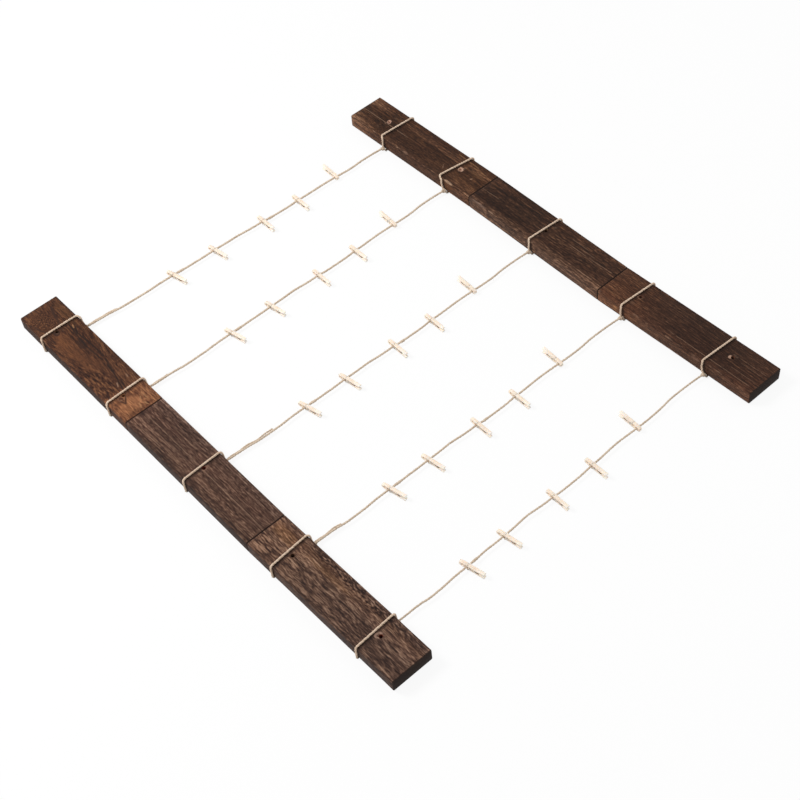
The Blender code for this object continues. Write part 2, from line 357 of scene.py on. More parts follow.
# Where each twine is knotted, as shares of a bar's half length, how much farther it crosses the inner and outer
# arris and the outer side, and how far off its end comes down to the knot
tied = {
    -1: {
        "knot": (0.8372, 0.4459, 0.0068, -0.4472, -0.8385),
        "inner": (0.025, 0.011, 0.009, 0.012, 0.004),
        "outer": (0.026, 0.007, 0.004, 0.002, -0.003),
        "side": (0.014, -0.001, 0.0, 0.0, -0.004),
        "drop": (0.0040, 0.0020, 0.0012, 0.0018, 0.0008),
    },
    1: {
        "knot": (0.8057, 0.4602, 0.0041, -0.4479, -0.8153),
        "inner": (0.014, 0.034, 0.012, 0.010, 0.017),
        "outer": (0.006, 0.014, 0.003, 0.001, 0.009),
        "side": (0.004, 0.011, -0.002, -0.002, 0.007),
        "drop": (0.0012, 0.0060, 0.0016, 0.0022, 0.0050),
    },
}

# How a pulled twine wanders from the straight line: a place (0 the left knot, 1 to 5 the clips, 6 the right knot)
# and millimetres towards the viewer, with what each row adds between its clips
wander = (
    (0.0, 0.0), (0.1, -0.2), (0.25, 0.1), (0.33, 0.9), (0.40, 2.2), (0.47, 2.9), (0.55, 2.6), (0.65, 2.3),
    (0.74, 1.3), (0.82, 0.7), (1.0, 0.5), (1.3, 0.8), (1.5, 0.4), (1.7, 0.5), (2.0, 0.0), (2.2, -0.1),
    (2.35, -0.5), (2.45, -1.0), (2.58, -0.4), (2.7, 0.4), (2.85, 0.9), (3.0, 0.7), (3.2, 2.4), (3.35, 3.4),
    (3.5, 3.6), (3.65, 3.1), (3.8, 1.8), (4.0, 0.6), (4.18, 0.7), (4.32, 0.2), (4.46, -0.3), (4.6, -0.6),
    (4.75, -0.5), (5.0, 0.1), (5.15, 0.7), (5.3, 0.6), (5.4, 0.0), (5.48, -1.1), (5.58, -1.6), (5.75, -1.6),
    (5.88, -1.2), (6.0, -0.3),
)
rowDrift = (0.6, 0.0, 0.4, 0.0, -0.8)

# Beyond the first of these strays, in millimetres, the rest is pressed into the second, because a clip that slides
# along has room for 2.2 mm before its coil meets the twine
strayRoom = (1.6, 0.6)

# The left end of each twine lies doubled along its start: where it stops, how far off it lies, how open it is
tails = (
    {"end": -0.2017, "aside": 0.0021, "open": 0.0006},
    {"end": -0.2189, "aside": 0.0017, "open": 0.0},
    {"end": -0.1780, "aside": 0.0021, "open": 0.0015},
    {"end": -0.2086, "aside": 0.0018, "open": 0.0004},
    None,
)

# Thick places of the pulled twines: which clip each lies right of, for which rows, how far off and how long
slubs = ((0, (0, 1, 2, 3, 4), 0.0105, 0.0065), (2, (0, 2, 3), 0.012, 0.0045))
biteReach = 0.006

# Knots: a coil of the twine, and the short end that sticks out, by how far out, along the bar and up
knot = {
    "turns": 2.1,
    "points": 40,
    "radius": 0.00165,
    "uneven": 0.0002,
    "squash": 1.1,
    "lengths": (0.0036, 0.0036, 0.0036, 0.0055, 0.0036),
    "inward": 0.0006,
    "nub": ((0.0004, -0.001, -0.0010), (0.0016, -0.0026, -0.0022), (0.0026, -0.0042, -0.0028)),
}
tail = {"start": (0.0012, 0.0012, 0.0), "lead": 0.005, "step": 0.006, "low": 0.0003, "wave": 0.0004}
hair = {"number": 150, "thickness": 0.00005, "lengths": (0.0012, 0.0038), "curl": 0.35}
endHair = {"number": 14, "thickness": 0.00007, "lengths": (0.0012, 0.0032), "curl": 0.3}


def crossings(row, side):
    shares = tied[side]
    start = shares["knot"][row]
    beyond = (0.0, shares["inner"][row], shares["outer"][row], shares["side"][row])
    return [alongBar(side, start + more) for more in beyond]


def wrapPath(row, side):
    knotY, innerY, outerY, sideY = crossings(row, side)
    radius = bars["corner"] + twine["clearance"] + twine["diameter"] / 2
    low = bars["bottom"] + bars["corner"]
    high = top - bars["corner"]
    farOut = bars["width"] - bars["corner"]
    dropY = knotY + tied[side]["drop"][row]
    lowY = knotY - twine["underShift"] if side > 0 else knotY
    corners = (
        (bars["corner"], low, -1, lowY, lowY),
        (farOut, low, 0, sideY, sideY),
        (farOut, high, 1, sideY, outerY),
        (bars["corner"], high, 2, innerY, dropY),
    )
    steps = twine["cornerSteps"]
    startX, startZ = twine["wrapStart"]
    path = [(-twine["knotReach"], knotY, twine["lineHeight"]), (startX, (knotY + lowY) / 2, startZ)]
    for out, z, quarter, y, lastY in corners:
        for step in range(2 if quarter == -1 else 0, steps + 1):
            angle = (quarter + step / steps) * math.pi / 2
            moved = (lastY - y) * step / steps
            path.append((out + radius * math.sin(angle), y + moved, z - radius * math.cos(angle)))
    path += [(out, knotY + (dropY - knotY) * share, z) for out, share, z in twine["wrapEnd"]]
    lean = swayAt(side, knotY)
    return [Vector((side * (bars["innerFace"] + out) + lean, y, z)) for out, y, z in path]


def clipShares(row):
    # Where the clips bite, as shares of the span from the left knot
    return [(hingeOf(row, column)["pos_m"][0] + knotX) / (2 * knotX) for column in range(columns)]


def wanderAt(row, share):
    stops = [0.0, *clipShares(row), 1.0]
    total = 0.0
    for shift, weight in ((-0.006, 0.25), (0.0, 0.5), (0.006, 0.25)):
        at = min(max(share + shift, 0.0), 0.9999)
        number = max(index for index, stop in enumerate(stops[:-1]) if at >= stop)
        place = number + (at - stops[number]) / (stops[number + 1] - stops[number])
        (begin, first), (end, last) = next(pair for pair in zip(wander, wander[1:]) if place <= pair[1][0])
        away = first + (last - first) * (place - begin) / (end - begin)
        total += weight * (away + rowDrift[row] * math.sin(math.pi * place) ** 2)
    free, more = strayRoom
    if total > free:
        total = free + more * (1 - math.exp((free - total) / more))
    return -total / 1000


def spanPath(row):
    ends = []
    for side in (-1, 1):
        y = crossings(row, side)[0]
        ends.append(Vector((side * knotX + swayAt(side, y), y, twine["lineHeight"])))
    path = []
    for step in range(101):
        place = ends[0].lerp(ends[1], step / 100)
        place.y += wanderAt(row, step / 100)
        path.append(place)
    return path


def evenPath(points, step):
    # A smooth curve through the points, as places that lie evenly along it, with its length
    fine = []
    for index in range(len(points) - 1):
        before = points[max(index - 1, 0)]
        here, there = points[index], points[index + 1]
        after = points[min(index + 2, len(points) - 1)]
        length = (there - here).length
        parts = max(2, int(length / step * 2))
        startPull = (there - before) * (length / max((there - before).length, 1e-6))
        endPull = (after - here) * (length / max((after - here).length, 1e-6))
        for part in range(parts):
            t = part / parts
            a = 2 * t ** 3 - 3 * t ** 2 + 1
            b = t ** 3 - 2 * t ** 2 + t
            c = -2 * t ** 3 + 3 * t ** 2
            d = t ** 3 - t ** 2
            fine.append(here * a + startPull * b + there * c + endPull * d)
    fine.append(points[-1])
    lengths = [0.0]
    for first, second in zip(fine, fine[1:]):
        lengths.append(lengths[-1] + (second - first).length)
    count = max(2, round(lengths[-1] / step))
    even, at = [], 0
    for number in range(count + 1):
        want = lengths[-1] * number / count
        while at < len(lengths) - 2 and lengths[at + 1] < want:
            at += 1
        gap = lengths[at + 1] - lengths[at]
        even.append(fine[at].lerp(fine[at + 1], (want - lengths[at]) / gap if gap > 0 else 0))
    return even, lengths[-1]


def framesAlong(path):
    directions = []
    for index in range(len(path)):
        ahead = path[min(index + 1, len(path) - 1)] - path[max(index - 1, 0)]
        directions.append(ahead.normalized())
    side = directions[0].orthogonal().normalized()
    frames = []
    for direction in directions:
        side = (side - direction * side.dot(direction)).normalized()
        frames.append((side.copy(), direction.cross(side)))
    return frames


def addTube(shape, path, radii, sides, along=0.0):
    layer = shape.loops.layers.uv.verify()
    rings, lengths = [], [along]
    for index, (place, radius, (across, up)) in enumerate(zip(path, radii, framesAlong(path))):
        ring = []
        for corner in range(sides):
            angle = 2 * math.pi * corner / sides
            spot = place + (across * math.cos(angle) + up * math.sin(angle)) * radius
            ring.append(shape.verts.new((spot.x, spot.y, max(spot.z, 0.0))))
        rings.append(ring)
        if index:
            lengths.append(lengths[-1] + (place - path[index - 1]).length)
    for index in range(len(rings) - 1):
        for corner in range(sides):
            around = ((0, corner), (0, corner + 1), (1, corner + 1), (1, corner))
            face = shape.faces.new([rings[index + on][turn % sides] for on, turn in around])
            face.smooth = True
            for loop, (on, turn) in zip(face.loops, around):
                loop[layer].uv = (turn / sides, lengths[index + on] * 100)
    shape.faces.new(rings[0][::-1])
    shape.faces.new(rings[-1])


def laidStrands(shape, path, seed, scale=1.0, fray=0.0, swell=None):
    # Two strands laid round each other; fray opens them towards the end
    frames = framesAlong(path)
    for strand in range(2):
        centres, radii = [], []
        for index, place in enumerate(path):
            at = index * twine["ringStep"]
            across, up = frames[index]
            uneven = noise.noise(Vector((at * 60, seed * 3.1, strand * 5.7)))
            angle = 2 * math.pi * (at / twine["lay"] + 0.12 * uneven) + strand * math.pi
            loose = 1.0 + fray * max(0, index - len(path) + 8) / 8
            grown = scale * (swell(place) if swell else 1.0)
            offset = twine["strandOffset"] * grown * loose
            centres.append(place + (across * math.cos(angle) + up * math.sin(angle)) * offset)
            radii.append(twine["strandRadius"] * grown * (1 + twine["uneven"] * uneven) * (1.12 - 0.12 * loose))
        addTube(shape, centres, radii, twine["ringSides"], seed * 0.37 + strand * 0.11)


def finishTwine(name, shape, material):
    mesh = bpy.data.meshes.new(name)
    bmesh.ops.recalc_face_normals(shape, faces=shape.faces)
    shape.to_mesh(mesh)
    shape.free()
    mesh.materials.append(material)
    obj = addObject(name, mesh)
    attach(obj, "frame")
    return obj


def knotPath(row, side):
    knotY = crossings(row, side)[0]
    middle = Vector((side * (knotX + knot["inward"]) + swayAt(side, knotY), knotY, twine["lineHeight"]))
    path = []
    for step in range(knot["points"]):
        share = step / (knot["points"] - 1)
        angle = side * (2 * math.pi * knot["turns"] * share + 0.6 * row)
        radius = knot["radius"] + knot["uneven"] * math.sin(7 * share + row)
        out = -side * (share - 0.5) * knot["lengths"][row]
        path.append(middle + Vector((out, knot["squash"] * radius * math.cos(angle), radius * math.sin(angle))))
    return path, middle


def tailPath(row, middle):
    about = tails[row]
    path = [middle + Vector(tail["start"])]
    x = middle.x + tail["lead"]
    while x < about["end"]:
        spread = about["aside"] + about["open"] * ((x - middle.x) / (about["end"] - middle.x)) ** 2
        share = (x + knotX) / (2 * knotX)
        y = middle.y + share * (crossings(row, 1)[0] - middle.y) + wanderAt(row, share) + spread
        y += tail["wave"] * math.sin(x * 260 + row)
        path.append(Vector((x, y, middle.z - tail["low"] * (1 - math.sin(x * 190)))))
        x += tail["step"]
    return path


def addHair(shape, start, direction, about, chance):
    length = chance.uniform(*about["lengths"])
    bend = Vector((chance.uniform(-1, 1), chance.uniform(-1, 1), chance.uniform(-0.6, 0.6))) * about["curl"]
    path = []
    for step in range(5):
        share = step / 4
        place = start + direction * length * share + bend * length * share * share
        place.z = max(place.z, 0.0003)
        path.append(place)
    addTube(shape, path, [about["thickness"] * (1 - 0.6 * step / 4) for step in range(5)], 3)


def fuzz(row, path, material):
    chance = random.Random(40 + row)
    shape = bmesh.new()
    frames = framesAlong(path)
    for number in range(hair["number"]):
        index = chance.randrange(4, len(path) - 4)
        across, up = frames[index]
        angle = chance.uniform(0, 2 * math.pi)
        out = across * math.cos(angle) + up * math.sin(angle)
        ahead = (path[index + 1] - path[index]).normalized() * chance.choice((-1, 1))
        lean = chance.uniform(0.2, 0.75)
        direction = (ahead * (1 - lean) + out * lean).normalized()
        addHair(shape, path[index] + out * twine["diameter"] * 0.36, direction, hair, chance)
    return finishTwine(f"twine{row + 1}Fuzz", shape, material)


def tieKnot(row, side, material, chance):
    shape = bmesh.new()
    turns, middle = knotPath(row, side)
    laidStrands(shape, evenPath(turns, twine["ringStep"])[0], 11 + row * 2 + side, 0.98)
    if side == 1 or tails[row] is None:
        nub = [middle + Vector((side * out, y, z)) for out, y, z in knot["nub"]]
        laid, seed, scale, fray = evenPath(nub, twine["ringStep"])[0], 30 + row, 0.85, 0.8
    else:
        laid, seed, scale, fray = evenPath(tailPath(row, middle), twine["ringStep"])[0], 50 + row, 0.86, 0.7
    laidStrands(shape, laid, seed, scale, fray)
    tip, heading = laid[-1], (laid[-1] - laid[-3]).normalized()
    for number in range(endHair["number"]):
        spread = Vector((chance.uniform(-1, 1), chance.uniform(-1, 1), chance.uniform(-1, 1))) * 0.5
        begin = tip - heading * chance.uniform(0, 0.001) + spread * 0.001
        addHair(shape, begin, (heading + spread).normalized(), endHair, chance)
    return finishTwine(f"twine{row + 1}{'Left' if side < 0 else 'Right'}Knot", shape, material)


def tieTwine(row, material):
    points = wrapPath(row, -1) + spanPath(row)[2:-2] + wrapPath(row, 1)[::-1]
    path, length = evenPath(points, twine["ringStep"])
    thick = [(hingeOf(row, column)["pos_m"][0] + off, size) for column, at, off, size in slubs if row in at]
    bites = [(2 * share - 1) * knotX for share in clipShares(row)]

    def swell(place):
        if abs(place.x) > knotX or place.z > 0.008:
            return twine["wrapSwell"]
        bulge = max(0.0, *(1 - abs(place.x - x) / size for x, size in thick))
        free = min(1.0, min(abs(place.x - x) for x in bites) / biteReach)
        return 1 + (twine["spanSwell"][row] - 1 + twine["slubSwell"] * min(1.0, 1.6 * bulge)) * free

    shape = bmesh.new()
    laidStrands(shape, path, row + 1, swell=swell)
    line = finishTwine(f"twine{row + 1}", shape, material)
    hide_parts(f"twine_{row + 1}")
    chance = random.Random(7 + row)
    onIt = [fuzz(row, path, material)] + [tieKnot(row, side, material, chance) for side in (-1, 1)]
    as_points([tuple(p) for p in path[::4]] + [tuple(path[-1])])


def juteLook(tree, place):
    strand = addNode(tree, "UVMap")
    fibres = strand.grain((14, 9, 1), 4, 0.65)
    tone = fibres * 0.7 + strand.grain((0.8, 1.3, 1), 2, 0.5) * 0.4
    colour = tone.painted((0.28, 152, 126, 103), (0.45, 194, 168, 144), (0.6, 219, 195, 172), (0.78, 238, 222, 204))
    height = addNode(tree, "SeparateXYZ", {0: place}, 2)
    # The spans, lying low, are tinted a little greyer, and painted shade darkens the twine where it passes under the
    # bar
    colour = colour.mixed(height.between(0.0095, 0.006), (0.93, 0.98, 1.0, 1.0), "MULTIPLY")
    colour = colour.mixed(height.between(0.0034, 0.0022, 0.0, 0.8), paint(70, 52, 40))
    return {
        "Base Color": colour, "Roughness": 0.92, "Specular IOR Level": 0.25, "Normal": bumped(fibres, 0.5, 0.0002),
    }


jute = newMaterial("juteTwine", juteLook)
for row in range(rows):
    tieTwine(row, jute)
print("twines tied")


# Clips

peg = {
    "length": 0.035,
    "width": 0.0044,
    "thickness": 0.0034,
    "gap": 0.0003,
    "pivot": 0.01575,
    "tipThickness": 0.0021,
    "bevelLength": 0.0055,
    "lineGroove": (0.0105, 0.0026),
    "tipGroove": (0.0046, 0.00195),
    "grooveDepth": 0.00145,
    "seatRadius": 0.00142,
    "handleInner": 0.00204,
    "handleOuter": 0.00404,
    "handleCut": 0.6,
    "flatPastPivot": 0.0020,
    "armPlace": 0.0120,
    "armGroove": (0.0012, 0.0005),
    "easedEdge": 0.00024,
    # Where along the leg the hollow between the handles gets its painted shade
    "handled": (0.001, 0.0115),
}
spring = {
    "wireRadius": 0.00035,
    "coilRadius": 0.00095,
    "coilPoints": 76,
    "halfLength": 0.0029,
    "turns": 1140.1,
    "lastAngle": 299.9,
    "backHeight": 0.00325,
    "bend": 0.0005,
    "overhang": 0.00245,
}


def carveLeg(name, side):
    inner = peg["gap"] / 2
    outer = inner + peg["thickness"]
    half = inner + peg["thickness"] / 2
    tipEnd = -peg["pivot"]
    handleEnd = peg["length"] - peg["pivot"]
    cut = handleEnd * peg["handleCut"]
    size = (peg["length"], peg["width"], peg["thickness"])
    leg = newBlock(name, size, (peg["length"] / 2 - peg["pivot"], 0, side * half))
    edit(leg)
    for u in (tipEnd + peg["bevelLength"], 0, peg["flatPastPivot"], cut):
        bpy.ops.mesh.select_all(action="SELECT")
        bpy.ops.mesh.bisect(plane_co=(u, 0, 0), plane_no=(1, 0, 0))

    def lift(wanted, height):
        pick(leg, "VERT", wanted)
        bpy.ops.transform.translate(value=(0, 0, side * height))

    lift(lambda p: p.x < tipEnd + 0.0001 and side * p.z > half, peg["tipThickness"] - peg["thickness"])
    for u in (handleEnd, cut):
        innerLift = (peg["handleInner"] - inner) * u / handleEnd
        outerLift = (peg["handleOuter"] - outer) * (u - peg["flatPastPivot"]) / (handleEnd - peg["flatPastPivot"])
        lift(lambda p: abs(p.x - u) < 0.0001 and side * p.z < half, innerLift)
        lift(lambda p: abs(p.x - u) < 0.0001 and side * p.z > half + innerLift / 2, outerLift)
    leaveEdit()

    lying = (math.pi / 2, 0, 0)
    for fromTip, halfWidth in (peg["lineGroove"], peg["tipGroove"]):
        groove = newRod("groove", 1, 0.01, (0, 0, 0), lying, 32)
        groove.location = (fromTip - peg["pivot"], 0, side * inner)
        cutAway(leg, applyScale(groove, (halfWidth, 1, peg["grooveDepth"])))
    cutAway(leg, newRod("seat", peg["seatRadius"], 0.01, (0, 0, 0), lying, 28))
    armWidth, armDepth = peg["armGroove"]
    armPlace = (peg["armPlace"] - peg["pivot"], 0, side * outer)
    cutAway(leg, newBlock("armGroove", (armWidth, 0.01, armDepth * 2), armPlace))
    useModifier(leg, "BEVEL", width=peg["easedEdge"], segments=2, limit_method="ANGLE", angle_limit=math.radians(38))
    smoothByAngle(leg, 40)
    return leg


def halfSpring():
    # Half of the coil, the corner at its end and the arm that lies in the leg's groove
    points = []
    for step in range(spring["coilPoints"] + 1):
        share = step / spring["coilPoints"]
        angle = math.radians(spring["lastAngle"] + spring["turns"] * (1 - share))
        x, z = (spring["coilRadius"] * turn for turn in (math.cos(angle), math.sin(angle)))
        points.append(Vector((x, -spring["halfLength"] * share, z)))
    armX = peg["armPlace"] - peg["pivot"]
    armZ = -spring["backHeight"]
    corner = Vector((armX, -spring["halfLength"], armZ))
    points += [points[-1].lerp(corner, share) for share in (0.3, 0.6, 0.85)]
    for angle in (15, 40, 65, 90):
        points.append(corner + Vector((0, spring["bend"] * (1 - math.cos(math.radians(angle))), 0)))
    armEnd = ((-0.0008, 0.0), (0.0008, 0.0), (spring["overhang"], 0.00006))
    points += [Vector((armX, y, armZ + lift)) for y, lift in armEnd]
    curve = bpy.data.curves.new("halfSpring", "CURVE")
    curve.dimensions = "3D"
    curve.bevel_depth = spring["wireRadius"]
    curve.bevel_resolution = 1
    curve.use_fill_caps = True
    wire = curve.splines.new("POLY")
    wire.points.add(len(points) - 1)
    for spot, point in zip(wire.points, points):
        spot.co = (*point, 1)
    obj = addObject("halfSpring", curve)
    makeActive(obj)
    bpy.ops.object.convert(target="MESH")
    smoothByAngle(obj, 50)
    return obj


def markLeg(mesh, offset):
    # Painted shade darkens the hollow between the two handles near the spring, and a painted highlight makes the
    # handles' tips paler
    grain = mesh.attributes.new("grainPlace", "FLOAT_VECTOR", "POINT")
    for vert, spot in zip(mesh.vertices, grain.data):
        spot.vector = vert.co + offset
    # inside marks the faces of the hollow that get the painted shade
    inside = mesh.attributes.new("inside", "FLOAT", "FACE")
    begin, end = peg["handled"]
    for face, spot in zip(mesh.polygons, inside.data):
        if begin < face.center.x < end and face.normal.z * face.center.z < 0 and abs(face.normal.z) > 0.8:
            spot.value = 1.0
    # along carries the place along the leg, for the painted highlight on the tips
    along = mesh.attributes.new("along", "FLOAT", "POINT")
    for vert, spot in zip(mesh.vertices, along.data):
        spot.value = vert.co.x


def pegLook(tree, place):
    place = attributeOf(tree, "grainPlace", "Vector")
    fibres = place.grain((90, 2600, 2600), 3, 0.6)
    tone = fibres * 0.45 + place.grain((28, 700, 700), 2, 0.5) * 0.35 + place.grain(160, 2, 0.5) * 0.2
    colour = tone.painted((0.30, 220, 198, 176), (0.46, 236, 218, 200), (0.60, 244, 229, 213), (0.75, 249, 238, 226))
    flecks = place.grain((900, 4200, 4200), 1, 0.5).between(0.66, 0.74)
    colour = colour.mixed(flecks * 0.10, paint(206, 170, 132))
    # Painted highlight: the handles' outer tips are made paler
    colour = colour.mixed(attributeOf(tree, "along").between(0.007, 0.018, 0.0, 0.6), paint(252, 244, 234))
    return {
        # Painted shade: the faces of the hollow between the handles are darkened
        "Base Color": colour.mixed(attributeOf(tree, "inside"), paint(126, 102, 82)),
        "Roughness": fibres.between(0.2, 0.8, 0.48, 0.66),
        "Specular IOR Level": 0.4,
        "Subsurface Weight": 0.35,
        "Subsurface Radius": (1.0, 0.8, 0.6),
        "Subsurface Scale": 0.003,
        "Normal": bumped(fibres, 0.25, 0.0001),
    }


def wireLook(tree, place):
    wear = place.grain(900, 3, 0.6)
    return {
        "Base Color": wear.painted((0.3, 186, 180, 170), (0.7, 228, 224, 216)),
        "Metallic": 1.0,
        "Roughness": wear.between(0.3, 0.7, 0.38, 0.24),
    }


def placeClips():
    masters = {"lower": carveLeg("lowerLeg", -1), "upper": carveLeg("upperLeg", 1), "wire": halfSpring()}
    wood = newMaterial("birchPeg", pegLook)
    steel = newMaterial("springWire", wireLook)
    turnOver = Matrix.Rotation(math.pi, 4, "X")
    chance = random.Random(12)

    def clampOn(name, mesh, where, material, body):
        mesh.transform(where)
        mesh.materials.append(material)
        piece = addObject(name, mesh)
        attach(piece, body)
        return piece

    for row in range(rows):
        for column in range(columns):
            clip = f"clip_{row + 1}{column + 1}"
            hinge = hingeOf(row, column)
            across = Vector(hinge["axis"])
            along = Vector((across.y, -across.x, 0))
            turned = Matrix((along, across, Vector((0, 0, 1)))).transposed().to_4x4()
            placed = Matrix.Translation(hinge["pos_m"]) @ turned
            for half in ("lower", "upper"):
                body = clip if half == "lower" else f"{clip}_upper"
                label = f"clip{row + 1}{column + 1}{half.capitalize()}"
                mesh = masters[half].data.copy()
                markLeg(mesh, Vector([chance.uniform(0, 9) for part in range(3)]))
                leg = clampOn(f"{label}Leg", mesh, placed, wood, body)
                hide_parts(f"{clip}_{half}_leg")
                where = placed if half == "lower" else placed @ turnOver
                clampOn(f"{label}Spring", masters["wire"].data.copy(), where, steel, body)
    for master in masters.values():
        bpy.data.objects.remove(master, do_unlink=True)


placeClips()
print("clips clamped on")


# Boards

wood = {
    "roundSteps": 4,
    "ringsAlong": 23,
    "endEase": 0.0008,
    "uneven": 0.0003,
    "evenEnd": 0.004,
    "cloudSize": 0.03,
    "holeRadius": 0.0024,
    "mouthRadius": 0.0031,
    "sideStart": 0.0019,
    "besideTwine": 0.0026,
    "belowKnot": 0.0028,
    "shadeWidth": 0.0030,
    "toneStops": (0.27, 0.395, 0.50, 0.62, 0.78),
}

# Shades of the stain, from the bottom of the pores to the rubbed arrises, and of the bare wood inside the nail holes.
# Black also paints the shadow beside the twine and the shade at the board ends, and light also paints highlights on
# the arrises
shades = {
    "black": paint(30, 19, 15),
    "dark": paint(50, 31, 23),
    "brown": paint(92, 60, 42),
    "golden": paint(150, 110, 76),
    "light": paint(166, 132, 108),
}
holeShades = {
    "darkHole": ((60, 42, 32), (92, 64, 48)),
    "brownHole": ((118, 80, 54), (160, 112, 78)),
    "redHole": ((88, 40, 30), (122, 62, 46)),
    "mutedHole": ((88, 58, 44), (116, 78, 60)),
    "paleHole": ((190, 150, 126), (226, 192, 168)),
}
grainKinds = ("Dashes", "Lines", "Bands", "Fine", "Blotches", "Grit")

